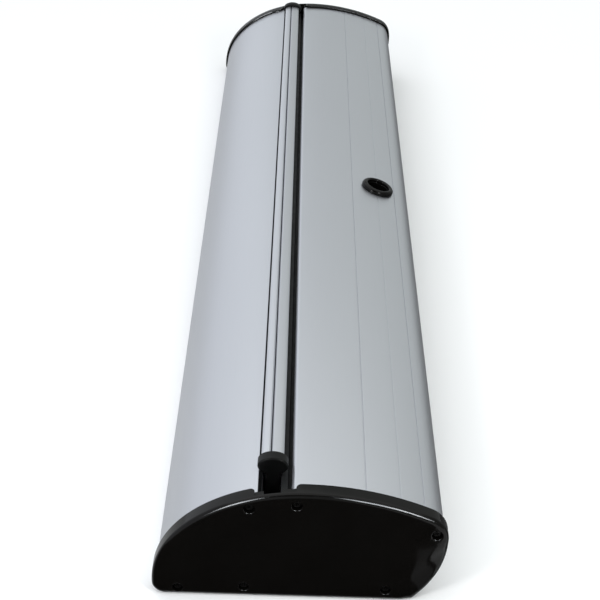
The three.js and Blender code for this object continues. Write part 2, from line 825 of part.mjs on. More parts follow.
add(stand, "pole_socket_ring", socketRing(), blackGloss);
add(stand, "pole_socket_tube", socketTube(), silver);
add(stand, "pole_socket_foot", socketFoot(), blackSatin);
const socketScrew = screw(SCREW_HEAD, SCREW_HEAD_HEIGHT, SCREW_SHANK, SOCKET_SCREW_LENGTH);
SOCKET_SCREWS.forEach((y, i) => {
  const name = "pole_socket_screw_" + (i + 1);
  add(stand, name, socketScrew, steel, [SOCKET_SCREW_X, y, SOCKET_FLOOR + GAP]);
});

let footNumber = 0;
for (const x of FOOT_ROWS) {
  for (const y of [-FOOT_Y, FOOT_Y]) {
    footNumber += 1;
    add(stand, "rubber_foot_" + footNumber, rubberFoot(), rubber, [x, y, 0]);
  }
}

export default stand;
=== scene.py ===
"""Looks of a roll-up banner stand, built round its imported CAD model.

Objects are in metres, in the frame's axes: X across the cassette (front at -X), Y along it, Z up.
Outlines are written in millimetres, in the X-Z plane, and turned into metres as each mesh is made.
"""

import json
import math

import bmesh
import bpy
import numpy as np
from mathutils import Matrix, Vector

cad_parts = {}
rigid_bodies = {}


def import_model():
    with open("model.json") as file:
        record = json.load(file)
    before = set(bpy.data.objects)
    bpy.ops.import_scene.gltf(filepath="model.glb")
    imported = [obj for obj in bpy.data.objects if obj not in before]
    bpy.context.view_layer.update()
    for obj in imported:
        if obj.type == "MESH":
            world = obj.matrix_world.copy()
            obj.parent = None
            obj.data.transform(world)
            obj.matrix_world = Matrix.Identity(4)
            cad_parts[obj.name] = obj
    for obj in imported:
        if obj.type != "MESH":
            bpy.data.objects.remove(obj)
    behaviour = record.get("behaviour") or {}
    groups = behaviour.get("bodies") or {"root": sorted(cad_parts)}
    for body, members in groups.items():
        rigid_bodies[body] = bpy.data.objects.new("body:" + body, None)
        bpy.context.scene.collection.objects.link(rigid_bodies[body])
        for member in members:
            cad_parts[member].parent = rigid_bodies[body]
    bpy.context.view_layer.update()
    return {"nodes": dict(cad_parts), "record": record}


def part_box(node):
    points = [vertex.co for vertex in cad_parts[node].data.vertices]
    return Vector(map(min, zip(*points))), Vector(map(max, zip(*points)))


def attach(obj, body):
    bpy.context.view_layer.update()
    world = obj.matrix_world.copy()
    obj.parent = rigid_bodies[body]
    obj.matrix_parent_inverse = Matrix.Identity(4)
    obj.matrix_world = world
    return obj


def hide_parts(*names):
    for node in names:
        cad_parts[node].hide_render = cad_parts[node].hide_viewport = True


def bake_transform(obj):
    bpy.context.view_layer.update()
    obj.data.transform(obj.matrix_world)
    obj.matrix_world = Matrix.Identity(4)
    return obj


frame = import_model()

MM = 0.001


# ---------------------------------------------------------------- camera
def make_camera():
    """A long lens above the near end, looking down along the cassette."""
    data = bpy.data.cameras.new("camera")
    data.lens = 90
    data.sensor_width = 36
    camera = bpy.data.objects.new("camera", data)
    right = Vector((0.999, 0.010, 0.031))
    up = Vector((-0.032, 0.501, 0.865))
    back = Vector((-0.007, -0.865, 0.501))
    turn = Matrix((right, up, back)).transposed().to_quaternion()
    camera.rotation_mode = "QUATERNION"
    camera.rotation_quaternion = turn
    camera.location = (-0.0109, -1.1825, 0.6400)
    bpy.context.scene.collection.objects.link(camera)
    bpy.context.scene.camera = camera


make_camera()


# ---------------------------------------------------------------- dimensions, in millimetres
def corners(node):
    """Lowest and highest corner of a CAD node."""
    low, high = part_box(node)
    return low / MM, high / MM


CAP_LOW, CAP_HIGH = corners("end_cap_near")
FRONT_LOW, FRONT_HIGH = corners("front_shell")
REAR_LOW, _ = corners("rear_shell")
RAIL_LOW, RAIL_HIGH = corners("top_rail_body")
CLAMP_LOW, CLAMP_HIGH = corners("top_rail_clamp")
PLUG_LOW, PLUG_HIGH = corners("top_rail_plug_near")
FILM_LOW, FILM_HIGH = corners("banner_web")
ROLL_LOW, ROLL_HIGH = corners("banner_roll")
TUBE_LOW, TUBE_HIGH = corners("roller_tube")
_, BLADE_HIGH = corners("slot_guide_front")
LEDGE_LOW, LEDGE_HIGH = corners("slot_guide_rear")
BASE_LOW, BASE_HIGH = corners("base_plate")

GAP = 0.3
HALF_WIDTH = CAP_HIGH.x
HEIGHT = CAP_HIGH.z
END = -CAP_LOW.y
CAP_BACK = -CAP_HIGH.y
CAP_PROUD = HALF_WIDTH + FRONT_LOW.x
SHELL_END = FRONT_HIGH.y
SHELL_WALL = 1.8
SLOT_EASE = 0.25
SLOT_FRONT = FRONT_HIGH.x - SLOT_EASE
SLOT_REAR = REAR_LOW.x
FLANGE_BOTTOM = 65.5
BASE_HOOK = 4.6
HOOK_RISE = 4

# Section of the cassette: front sweep, rear slope, shoulder and tucked-in lower rear
CREST_X = 3.1
SWEEP_Z = 10.2
TOE_RADIUS = 8.2
SLOPE_RADIUS = 199
SHOULDER_RADIUS = 18.4
TUCK_RADIUS = 61.2
TUCK_Z = 44.9
SHOULDER_X = HALF_WIDTH - SHOULDER_RADIUS
SLOPE_Z = HEIGHT - SLOPE_RADIUS
SHOULDER_ANGLE = math.acos((SHOULDER_X - CREST_X) / (SLOPE_RADIUS - SHOULDER_RADIUS))
SHOULDER_Z = SLOPE_Z + (SLOPE_RADIUS - SHOULDER_RADIUS) * math.sin(SHOULDER_ANGLE)
LIP_RADIUS = 2.8
GROOVES = [(40.2, 0.7, 0.6), (62.2, 0.5, 0.3), (77.2, 0.7, 0.6)]  # place, width, depth

# End caps
CAP_FACE = 3.2
CAP_ROUND = 3.2
CAP_WALL = 5
NOTCH = (-28.6, -3.1)
RECESS = (-22.9, -12.0)
NOTCH_WALL = 3.5
NOTCH_FLOOR = 60
NOTCH_CORNER = 1.5
NOTCH_MOUTH = 4.0
SCREWS = [(-31.6, 69.2), (-2.3, 72.5), (84.9, 53), (-75.9, 5.4), (-34.2, 7.8), (55.5, 8.2)]
COUNTERBORE = 3.3
SCREW_SEAT = END - 4.5
SCREW_HEAD = 3
SCREW_HOLE = 1.8
CREASE_FOOT = 65.5  # the curve where the face starts to fall back, lower rear
CREASE_BEND = 0.0118
FALL = 2.8
FALL_REACH = 8
FALL_COLUMNS = (64, 65, 66, 67, 68.5, 70, 71.5, 73, 75, 77, 79, 81, 83, 85, 87, 89)
FALL_ROWS = range(3, 50, 3)
PORT_RADIUS = 2.7
PORT_BORE = 1.5

# Rail
RAIL_X = -18.35
RAIL_CROWN = 2.4
RAIL_SHOULDER = 75.6
RAIL_STEM = 8
RAIL_SPLIT = -19.4
SPLIT_BEVEL = 0.9
PLUG_HEIGHT = 13
PLUG_ROUND = 1.3
PLUG_STEM_HALF = 4.5
PLUG_STEM_SHIFT = 0.7
PLUG_STEM_ROUND = 0.9
BANNER_SHIFT = (RAIL_LOW.y + RAIL_HIGH.y) / 2

# Screws
SCREW_HEAD_HEIGHT = 2.2
SCREW_PITCH = 1.1
SCREW_TURN = 37  # degrees between the crosses of neighbouring screws
CAP_SCREW_LENGTH = 17
SOCKET_SCREW_LENGTH = 11
BOSS_RADIUS = 4.6

# Slot guides
GUIDE_BLADE = 0.9
GUIDE_HOOK = 1.4
GUIDE_WALL = 1.8
LEDGE_WALL = 1.5
LEDGE_REAR = -8.1

# Banner
ROLL_TURNS = 18
ROLL_FILM = 0.3
WEB_CLEARANCE = 0.04
WEB_ROWS = 72

# Feet
FOOT_EDGE = 0.8
FOOT_GROOVE_PITCH = 1.6
FOOT_GROOVE_DEPTH = 0.35

# Pole socket
SOCKET_X = 62.2
POLE_HOLE = 12
SOCKET_TILT = math.asin((SOCKET_X - CREST_X) / (SLOPE_RADIUS - CAP_PROUD))


# ---------------------------------------------------------------- outlines
def arc(x, z, rx, rz, start, end, steps):
    """Points on an arc or a part of an ellipse."""
    return [(x + rx * math.cos(a), z + rz * math.sin(a)) for a in np.linspace(start, end, steps + 1)]


def front_line(inset, end_x):
    """The front of the section, inset, from under the toe up to the slot."""
    rx = HALF_WIDTH + CREST_X - inset
    rz = HEIGHT - SWEEP_Z - inset
    toe = TOE_RADIUS - inset
    end = math.acos((end_x - CREST_X) / rx)
    under = arc(TOE_RADIUS - HALF_WIDTH, TOE_RADIUS, toe, toe, -math.pi / 2, -math.pi, 12)
    return under + arc(CREST_X, SWEEP_Z, rx, rz, math.pi, end, 84)[1:]


def slope_line(inset, grooves=()):
    """The gentle rear slope, inset, with any fine grooves along it."""
    radius = SLOPE_RADIUS - inset
    points = []
    angle = math.pi / 2
    for x, width, depth in grooves:
        middle = math.acos((x - CREST_X) / radius)
        half = width / 2 / radius
        points += arc(CREST_X, SLOPE_Z, radius, radius, angle, middle + half, 14)
        floor = radius - depth
        points += arc(CREST_X, SLOPE_Z, floor, floor, middle + half * 0.85, middle - half * 0.85, 1)
        angle = middle - half
    return points + arc(CREST_X, SLOPE_Z, radius, radius, angle, SHOULDER_ANGLE, 14 if grooves else 40)


def rear_line(inset, start_x, end_z, grooves=()):
    """The rear of the section, inset, from the slot over the shoulder down to end_z."""
    rx = HALF_WIDTH + CREST_X - inset
    rz = HEIGHT - SWEEP_Z - inset
    shoulder = SHOULDER_RADIUS - inset
    tuck = TUCK_RADIUS - inset
    start = math.acos((start_x - CREST_X) / rx)
    end = -math.asin((TUCK_Z - end_z) / tuck)
    crest = arc(CREST_X, SWEEP_Z, rx, rz, start, math.pi / 2, 6) if start_x < CREST_X else []
    return (
        crest[:-1]
        + slope_line(inset, grooves)
        + arc(SHOULDER_X, SHOULDER_Z, shoulder, shoulder, SHOULDER_ANGLE, 0, 22)[1:]
        + arc(HALF_WIDTH - TUCK_RADIUS, TUCK_Z, tuck, tuck, 0, end, 24)[1:]
    )


def section(inset):
    """The whole closed section, inset."""
    return front_line(inset, CREST_X)[:-1] + rear_line(inset, CREST_X, inset)


def crest_height(x, inset):
    """Height of the section over x, near the slot."""
    rx = HALF_WIDTH + CREST_X - inset
    return SWEEP_Z + (HEIGHT - SWEEP_Z - inset) * math.sqrt(1 - ((x - CREST_X) / rx) ** 2)


def eased(outline, radius, steps=3, sharpest=math.radians(25)):
    """The outline with its corners rounded off."""
    points = []
    count = len(outline)
    for i, corner in enumerate(outline):
        here = Vector(corner)
        before = Vector(outline[i - 1]) - here
        after = Vector(outline[(i + 1) % count]) - here
        if math.pi - before.angle(after) < sharpest:
            points.append(corner)
            continue
        a = before.normalized() * min(radius, before.length * 0.45)
        b = after.normalized() * min(radius, after.length * 0.45)
        for t in np.linspace(0, 1, steps + 1):
            points.append(tuple(here + a * (1 - t) ** 2 + b * t**2))
    return points


def rectangle(x0, x1, z0, z1):
    return [(x0, z0), (x1, z0), (x1, z1), (x0, z1)]


# ---------------------------------------------------------------- meshes
def new_object(name, mesh):
    made = bpy.data.objects.new(name, mesh)
    bpy.context.scene.collection.objects.link(made)
    return made


def from_bmesh(name, bm):
    bmesh.ops.recalc_face_normals(bm, faces=bm.faces)
    mesh = bpy.data.meshes.new(name)
    bm.to_mesh(mesh)
    bm.free()
    return new_object(name, mesh)


def loft(name, rings, closed=False):
    """A skin over rings of (x, y, z) points in millimetres, its ends filled, or joined up if closed."""
    bm = bmesh.new()
    loops = [[bm.verts.new(Vector(p) * MM) for p in ring] for ring in rings]
    pairs = list(zip(loops, loops[1:]))
    if closed:
        pairs.append((loops[-1], loops[0]))
    for low, high in pairs:
        for i in range(len(low)):
            j = (i + 1) % len(low)
            bm.faces.new((low[i], low[j], high[j], high[i]))
    if not closed:
        bm.faces.new(loops[0])
        bm.faces.new(loops[-1])
    return from_bmesh(name, bm)


def at_y(outline, y):
    return [(x, y, z) for x, z in outline]


def extruded(name, outline, y0, y1, rows=1):
    """An outline run along Y."""
    return loft(name, [at_y(outline, y) for y in np.linspace(y0, y1, rows + 1)])


def rod(name, x, z, radius, y0, y1, sides=48):
    circle = arc(x, z, radius, radius, 0, 2 * math.pi, sides)[:-1]
    return extruded(name, circle, y0, y1)


def lathe(name, profile, sides=64):
    """A closed (radius, z) profile turned about Z."""
    rings = []
    for angle in np.linspace(0, 2 * math.pi, sides, endpoint=False):
        rings.append([(r * math.cos(angle), r * math.sin(angle), z) for r, z in profile])
    return loft(name, rings, closed=True)


def bake(obj):
    """Applies obj's modifiers to its mesh."""
    graph = bpy.context.evaluated_depsgraph_get()
    mesh = bpy.data.meshes.new_from_object(obj.evaluated_get(graph))
    obj.modifiers.clear()
    obj.data = mesh
    return obj


def combined(obj, tools, operation):
    """obj with a boolean run against each tool; the tools are used up."""
    for tool in tools:
        modifier = obj.modifiers.new("boolean", "BOOLEAN")
        modifier.object = tool
        modifier.operation = operation
        modifier.solver = "EXACT"
    bake(obj)
    for tool in tools:
        bpy.data.objects.remove(tool)
    return obj


def cut(obj, *tools):
    return combined(obj, tools, "DIFFERENCE")


def joined(obj, *tools):
    return combined(obj, tools, "UNION")


def bevelled(obj, width, segments=2, angle=40):
    """Every sharp edge rounded over."""
    modifier = obj.modifiers.new("bevel", "BEVEL")
    modifier.width = width * MM
    modifier.segments = segments
    modifier.limit_method = "ANGLE"
    modifier.angle_limit = math.radians(angle)
    return bake(obj)


def smooth(obj, angle=35):
    """Smooth shading, broken at sharp edges, with flat faces kept flat."""
    obj.data.shade_smooth()
    obj.data.set_sharp_from_angle(angle=math.radians(angle))
    modifier = obj.modifiers.new("normals", "WEIGHTED_NORMAL")
    modifier.keep_sharp = True
    return bake(obj)


def mirrored(obj, name):
    """A copy of obj at the other end of the cassette."""
    mesh = obj.data.copy()
    mesh.name = name
    mesh.transform(Matrix.Diagonal((1, -1, 1, 1)))
    mesh.flip_normals()
    return new_object(name, mesh)


# ---------------------------------------------------------------- materials
def linear(red, green, blue):
    """Scene colour from screen values of 0 to 255."""
    return tuple(
        c / 12.92 if c <= 0.04045 else ((c + 0.055) / 1.055) ** 2.4
        for c in (red / 255, green / 255, blue / 255)
    )


def shade(colour, factor):
    return tuple(min(1, c * factor) for c in colour) + (1,)


class Finish:
    """A procedural material, built up in layers on one Principled shader."""

    def __init__(self, name, colour, roughness, metallic=0.0, specular=0.5):
        self.material = bpy.data.materials.new(name)
        self.material.use_nodes = True
        self.tree = self.material.node_tree
        self.shader = self.tree.nodes["Principled BSDF"]
        self.shader.inputs["Metallic"].default_value = metallic
        self.shader.inputs["Specular IOR Level"].default_value = specular
        self.colour = colour
        self.roughness = roughness
        self.place = self.add("ShaderNodeTexCoord").outputs["Object"]
        self.tone = None
        self.gloss = None
        self.normal = None

    def add(self, kind, **inputs):
        node = self.tree.nodes.new(kind)
        for key, value in inputs.items():
            node.inputs[key.replace("_", " ")].default_value = value
        return node

    def link(self, a, b):
        self.tree.links.new(a, b)

    def noise(self, scale, stretch=(1, 1, 1), detail=4.0, distortion=0.0):
        """Noise over the object, drawn out along an axis where stretch is small."""
        mapping = self.add("ShaderNodeMapping", Scale=stretch)
        self.link(self.place, mapping.inputs["Vector"])
        texture = self.add("ShaderNodeTexNoise", Scale=scale, Detail=detail, Distortion=distortion)
        self.link(mapping.outputs["Vector"], texture.inputs["Vector"])
        return texture.outputs["Fac"]

    def spread(self, value, low, high, from_low=0.3, from_high=0.7):
        """A value rescaled, from where noise mostly lies."""
        ranged = self.add("ShaderNodeMapRange")
        ranged.inputs["From Min"].default_value = from_low
        ranged.inputs["From Max"].default_value = from_high
        ranged.inputs["To Min"].default_value = low
        ranged.inputs["To Max"].default_value = high
        self.link(value, ranged.inputs["Value"])
        return ranged.outputs["Result"]

    def clouds(self, scale, amount, stretch=(1, 1, 1)):
        """Slow variation of the colour."""
        ramp = self.add("ShaderNodeValToRGB")
        ramp.color_ramp.elements[0].position = 0.3
        ramp.color_ramp.elements[0].color = shade(self.colour, 1 - amount)
        ramp.color_ramp.elements[1].position = 0.7
        ramp.color_ramp.elements[1].color = shade(self.colour, 1 + amount)
        self.link(self.noise(scale, stretch), ramp.inputs["Fac"])
        self.tone = ramp.outputs["Color"]
        return self

    def marks(self, scale, stretch, threshold, colour, strength):
        """Sparse scuffs, dust or drawn lines in another tone."""
        value = self.noise(scale, stretch, detail=8.0, distortion=0.6)
        mask = self.spread(value, 0, strength, threshold, threshold + 0.12)
        mix = self.add("ShaderNodeMix")
        mix.data_type = "RGBA"
        mix.inputs[7].default_value = tuple(colour) + (1,)
        self.link(mask, mix.inputs[0])
        self.link(self.tone, mix.inputs[6])
        self.tone = mix.outputs[2]
        return self

    def polish(self, scale, amount, stretch=(1, 1, 1)):
        """Uneven gloss."""
        value = self.noise(scale, stretch)
        low, high = self.roughness - amount, self.roughness + amount
        self.gloss = self.spread(value, max(0.02, low), min(1, high))
        return self

    def relief(self, scale, strength, distance, stretch=(1, 1, 1), detail=3.0):
        """Fine surface relief."""
        bump = self.add("ShaderNodeBump", Strength=strength, Distance=distance)
        self.link(self.noise(scale, stretch, detail), bump.inputs["Height"])
        if self.normal is not None:
            self.link(self.normal, bump.inputs["Normal"])
        self.normal = bump.outputs["Normal"]
        return self

    def done(self):
        self.link(self.tone, self.shader.inputs["Base Color"])
        self.link(self.gloss, self.shader.inputs["Roughness"])
        self.link(self.normal, self.shader.inputs["Normal"])
        return self.material


ALONG = (1, 0.02, 1)  # stretches a texture along the extrusions


def aluminium():
    finish = Finish("anodised_aluminium", linear(199, 201, 206), 0.37, metallic=0.9, specular=0.4)
    finish.clouds(9, 0.012, (1, 0.25, 1)).marks(1800, ALONG, 0.6, linear(180, 183, 187), 0.1)
    finish.marks(420, (1, 1, 1), 0.74, linear(165, 167, 169), 0.3)
    finish.polish(900, 0.015, ALONG)
    return finish.relief(2600, 0.03, 0.00003, ALONG).relief(5200, 0.06, 0.00003).done()


def gloss_black():
    finish = Finish("gloss_black_plastic", linear(9, 8, 7), 0.12, specular=0.17)
    finish.clouds(30, 0.12).marks(520, (1, 1, 1), 0.72, linear(48, 46, 43), 0.35)
    finish.polish(60, 0.04)
    return finish.relief(160, 0.1, 0.00012).relief(2600, 0.05, 0.00003).done()


def satin_black():
    finish = Finish("satin_black_plastic", linear(12, 12, 12), 0.36, specular=0.14)
    finish.clouds(60, 0.1).marks(600, (1, 1, 1), 0.72, linear(50, 50, 50), 0.3)
    return finish.polish(140, 0.07).relief(3400, 0.25, 0.00006).done()


def dark_grey():
    finish = Finish("dark_grey_plastic", linear(28, 29, 30), 0.5, specular=0.18)
    finish.clouds(50, 0.1, ALONG).marks(700, (1, 0.2, 1), 0.7, linear(62, 63, 63), 0.3)
    return finish.polish(200, 0.08).relief(3000, 0.3, 0.00006).done()


def rubber():
    finish = Finish("black_rubber", linear(34, 33, 33), 0.82, specular=0.3)
    finish.clouds(120, 0.15).marks(800, (1, 1, 1), 0.66, linear(86, 84, 80), 0.4)
    return finish.polish(220, 0.08).relief(2400, 0.4, 0.0001).done()


def banner_film():
    finish = Finish("banner_film", linear(238, 238, 235), 0.5, specular=0.35)
    finish.clouds(5, 0.015, (1, 1, 0.3)).marks(900, (1, 1, 1), 0.72, linear(214, 214, 210), 0.25)
    return finish.polish(30, 0.06).relief(2600, 0.1, 0.00004).relief(14, 0.08, 0.001).done()


def nylon():
    finish = Finish("nylon", linear(216, 213, 205), 0.5, specular=0.4)
    finish.clouds(80, 0.05).marks(500, (1, 1, 1), 0.7, linear(180, 176, 166), 0.3)
    return finish.polish(160, 0.08).relief(2000, 0.2, 0.00006).done()


def zinc_steel():
    finish = Finish("zinc_steel", linear(168, 170, 172), 0.34, metallic=1.0)
    finish.clouds(160, 0.08).marks(900, ALONG, 0.6, linear(110, 108, 104), 0.4)
    return finish.polish(420, 0.1).relief(1800, 0.15, 0.00005).done()


def black_steel():
    finish = Finish("black_steel", linear(22, 21, 20), 0.36, metallic=0.3, specular=0.2)
    finish.clouds(300, 0.15).marks(1200, (1, 1, 1), 0.68, linear(70, 67, 62), 0.35)
    return finish.polish(800, 0.08).relief(3000, 0.2, 0.00004).done()


MATERIALS = {
    "anodised_aluminium": aluminium(),
    "gloss_black_plastic": gloss_black(),
    "satin_black_plastic": satin_black(),
    "dark_grey_plastic": dark_grey(),
    "black_rubber": rubber(),
    "banner_film": banner_film(),
    "nylon": nylon(),
    "zinc_steel": zinc_steel(),
    "black_steel": black_steel(),
}


def painted(obj, slot):
    """Gives obj the finish of one of the record's slots."""
    obj.data.materials.clear()
    obj.data.materials.append(MATERIALS[slot])


def placed(obj, body, slot, *nodes):
    """Gives a made piece its finish and its body, and hides the CAD nodes that it stands for."""
    painted(obj, slot)
    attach(obj, body)
    if nodes:
        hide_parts(*nodes)
    return obj


# ---------------------------------------------------------------- shells
def screw_channel(x, z):
    """The round channel that a cap screw bites into."""
    outer = arc(x, z, PORT_RADIUS, PORT_RADIUS, 0, 2 * math.pi, 24)[:-1]
    inner = arc(x, z, PORT_BORE, PORT_BORE, 0, 2 * math.pi, 24)[:-1]
    ends = [(outer, -SHELL_END), (outer, SHELL_END), (inner, SHELL_END), (inner, -SHELL_END)]
    return loft("channel", [at_y(outline, y) for outline, y in ends], closed=True)


def absorb(obj, *others):
    """Adds the meshes of others to obj's own."""
    bm = bmesh.new()
    bm.from_mesh(obj.data)
    for other in others:
        bm.from_mesh(other.data)
        bpy.data.objects.remove(other)
    bm.to_mesh(obj.data)
    bm.free()
    return obj


def front_shell():
    hook = BASE_LOW.x + BASE_HOOK - GAP
    toe = CAP_PROUD + SHELL_WALL
    outline = [
        *front_line(CAP_PROUD, SLOT_FRONT),
        (SLOT_FRONT, FLANGE_BOTTOM),
        (SLOT_FRONT - SHELL_WALL, FLANGE_BOTTOM),
        *reversed(front_line(toe, SLOT_FRONT - SHELL_WALL)),
        (hook - SHELL_WALL, toe),
        (hook - SHELL_WALL, toe + HOOK_RISE),
        (hook, toe + HOOK_RISE),
        (hook, CAP_PROUD),
    ]
    made = extruded("front_shell_skin", eased(outline, 0.35), -SHELL_END, SHELL_END, 6)
    absorb(made, screw_channel(*SCREWS[0]))
    placed(smooth(made), "cassette", "anodised_aluminium", "front_shell")


def on_socket_axis(obj):
    """Moves a shape made about +Z onto the rear shell, square to it."""
    reach = (SLOPE_RADIUS - CAP_PROUD) * MM
    turn = Matrix.Rotation(SOCKET_TILT, 4, "Y")
    centre = Matrix.Translation((CREST_X * MM, 0, SLOPE_Z * MM))
    obj.data.transform(centre @ turn @ Matrix.Translation((0, 0, reach)))
    return obj


def rear_shell():
    inset = CAP_PROUD
    lip_x = SLOT_REAR + LIP_RADIUS
    outer = rear_line(inset, lip_x, inset, GROOVES)
    lip_z = outer[0][1] - LIP_RADIUS
    toe = inset + SHELL_WALL
    hook = BASE_HIGH.x - BASE_HOOK + GAP
    outline = [
        (SLOT_REAR, FLANGE_BOTTOM),
        *arc(lip_x, lip_z, LIP_RADIUS, LIP_RADIUS, math.pi, math.pi / 2, 10)[:-1],
        *outer,
        (hook, inset),
        (hook, toe + HOOK_RISE),
        (hook + SHELL_WALL, toe + HOOK_RISE),
        (hook + SHELL_WALL, toe),
        *reversed(rear_line(toe, SLOT_REAR + SHELL_WALL, toe)),
        (SLOT_REAR + SHELL_WALL, FLANGE_BOTTOM),
    ]
    made = extruded("rear_shell_skin", eased(outline, 0.25, 2), -SHELL_END, SHELL_END, 6)
    hole = lathe("hole", [(0.01, -8), (POLE_HOLE, -8), (POLE_HOLE, 8), (0.01, 8)], 64)
    cut(made, on_socket_axis(hole))
    absorb(made, screw_channel(*SCREWS[1]), screw_channel(*SCREWS[2]))
    placed(smooth(made), "cassette", "anodised_aluminium", "rear_shell")


# ---------------------------------------------------------------- end caps
def rounded_blank(name, outline_at, front, back, radius, ease=0.4, steps=8):
    """A solid along Y whose front edge is rounded; outline_at gives its outline at an inset."""
    rings = []
    for turn in np.linspace(math.pi / 2, 0, steps + 1):
        inset = radius * (1 - math.cos(turn))
        rings.append(at_y(outline_at(inset), front + radius * (1 - math.sin(turn))))
    rings.append(at_y(outline_at(0), back - ease))
    rings.append(at_y(outline_at(ease * 0.3), back - ease * 0.3))
    rings.append(at_y(outline_at(ease), back))
    return loft(name, rings)


def fall_back(obj):
    """Lets the face of a cap fall back beyond a curved crease, at the lower rear."""
    bm = bmesh.new()
    bm.from_mesh(obj.data)
    for x in FALL_COLUMNS:
        everything = bm.verts[:] + bm.edges[:] + bm.faces[:]
        bmesh.ops.bisect_plane(bm, geom=everything, plane_co=(x * MM, 0, 0), plane_no=(1, 0, 0))
    for z in FALL_ROWS:
        everything = bm.verts[:] + bm.edges[:] + bm.faces[:]
        bmesh.ops.bisect_plane(bm, geom=everything, plane_co=(0, 0, z * MM), plane_no=(0, 0, 1))
    depth = END - CAP_BACK
    for vert in bm.verts:
        x, y, z = vert.co / MM
        distance = x - CREASE_FOOT - CREASE_BEND * z * z
        beyond = (distance + math.sqrt(distance**2 + 1)) / 2
        weight = (-CAP_BACK - y) / depth
        vert.co.y += FALL * (1 - math.exp(-beyond / FALL_REACH)) * weight * MM
    bmesh.ops.triangulate(bm, faces=[f for f in bm.faces if len(f.verts) > 4])
    bm.to_mesh(obj.data)
    bm.free()


def notch_tool():
    """The opening in the rim over the slot, with rounded corners in plan at its wall and at its mouth."""
    corner = NOTCH_CORNER
    mouth = NOTCH_MOUTH
    front = -END + NOTCH_WALL
    stations = []
    for turn in np.linspace(math.pi / 2, 0, 6):
        stations.append((corner * (1 - math.cos(turn)), front + corner * (1 - math.sin(turn))))
    for turn in np.linspace(0, math.pi / 2, 7):
        stations.append((-mouth * (1 - math.cos(turn)), -CAP_BACK - mouth + mouth * math.sin(turn)))
    stations.append((-mouth, -CAP_BACK + 2))
    rings = []
    for inset, y in stations:
        x0, x1 = NOTCH[0] + inset, NOTCH[1] - inset
        floor = [(x, crest_height(x, CAP_PROUD)) for x in np.linspace(x0, x1, 17)]
        rings.append(at_y(floor + [(x1, HEIGHT + 5), (x0, HEIGHT + 5)], y))
    return loft("notch", rings)


def recess_tool(x, z):
    """A counterbore for a screw head, with a lightly chamfered mouth, and the screw's hole."""
    mouth = COUNTERBORE + 0.7
    profile = [
        (-END - 5, mouth),
        (-END, mouth),
        (-END + 0.1, COUNTERBORE + 0.35),
        (-END + 0.35, COUNTERBORE + 0.1),
        (-END + 0.7, COUNTERBORE),
        (-SCREW_SEAT, COUNTERBORE),
        (-SCREW_SEAT, SCREW_HOLE),
        (-END + 25, SCREW_HOLE),
    ]
    rings = [at_y(arc(x, z, r, r, 0, 2 * math.pi, 36)[:-1], y) for y, r in profile]
    return loft("recess", rings)


def hollow_tool():
    """The space inside a cap: a tray that leaves the screw bosses."""
    tray = extruded("tray", section(CAP_WALL), -END + CAP_FACE, 0)
    bosses = [rod("boss", x, z, BOSS_RADIUS, -END, -SHELL_END - GAP, 32) for x, z in SCREWS]
    return cut(tray, *bosses)


def end_caps():
    made = rounded_blank("end_cap_near_moulding", section, -END, -CAP_BACK, CAP_ROUND)
    fall_back(made)
    seat = extruded("seat", section(CAP_PROUD - GAP), -SHELL_END - GAP, 0)
    recess = extruded("stem", eased(rectangle(*RECESS, NOTCH_FLOOR, HEIGHT + 5), 1), -END + NOTCH_WALL, 0)
    holes = [recess_tool(x, z) for x, z in SCREWS]
    cut(made, seat, hollow_tool(), notch_tool(), recess, *holes)
    bevelled(made, 0.35)
    smooth(made)
    placed(made, "cassette", "gloss_black_plastic", "end_cap_near")
    placed(mirrored(made, "end_cap_far_moulding"), "cassette", "gloss_black_plastic", "end_cap_far")


# ---------------------------------------------------------------- screws
def screw_mesh(length):
    """A pan-head cross-recess screw along +Z, the underside of its head at the origin."""
    head = arc(SCREW_HEAD - 1.4, 0.8, 1.4, 1.4, 0, math.pi / 2, 6)
    thread = []
    for turn in range(int(length / SCREW_PITCH) - 2):
        z = -1 - turn * SCREW_PITCH
        thread += [(1.0, z), (1.25, z - 0.4)]
    tip = [(1.0, -length + 2), (0.2, -length), (0.01, -length)]
    profile = [(0.01, SCREW_HEAD_HEIGHT), *reversed(head), (SCREW_HEAD, 0), (1.2, 0), *thread, *tip]
    body = lathe("screw", profile, 28)
    arm = SCREW_HEAD * 0.55
    blade = SCREW_HEAD * 0.14
    for half_x, half_y in ((arm, blade), (blade, arm)):
        rings = []
        for z, taper in ((0.7, 0.7), (3, 1.1)):
            x, y = half_x * taper, half_y * taper
            rings.append([(-x, -y, z), (x, -y, z), (x, y, z), (-x, y, z)])
        cut(body, loft("blade", rings))
    smooth(body)
    mesh = body.data
    bpy.data.objects.remove(body)
    return mesh


def cap_screws():
    mesh = screw_mesh(CAP_SCREW_LENGTH)
    for end, side in (("near", -1), ("far", 1)):
        for number, (x, z) in enumerate(SCREWS, 1):
            obj = new_object(f"cap_screw_{end}_{number}_turned", mesh)
            twist = Matrix.Rotation(math.radians(SCREW_TURN * number), 4, "Z")
            lie = Matrix.Rotation(-side * math.pi / 2, 4, "X")
            obj.matrix_world = Matrix.Translation((x * MM, side * SCREW_SEAT * MM, z * MM)) @ lie @ twist
            placed(obj, "cassette", "black_steel", f"cap_screw_{end}_{number}")


def socket_screws():
    mesh = screw_mesh(SOCKET_SCREW_LENGTH)
    for number in (1, 2):
        node = f"pole_socket_screw_{number}"
        low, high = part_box(node)
        obj = new_object(node + "_turned", mesh)
        seat = high.z - SCREW_HEAD_HEIGHT * MM
        obj.matrix_world = Matrix.Translation(((low.x + high.x) / 2, (low.y + high.y) / 2, seat))
        placed(obj, "cassette", "zinc_steel", node)


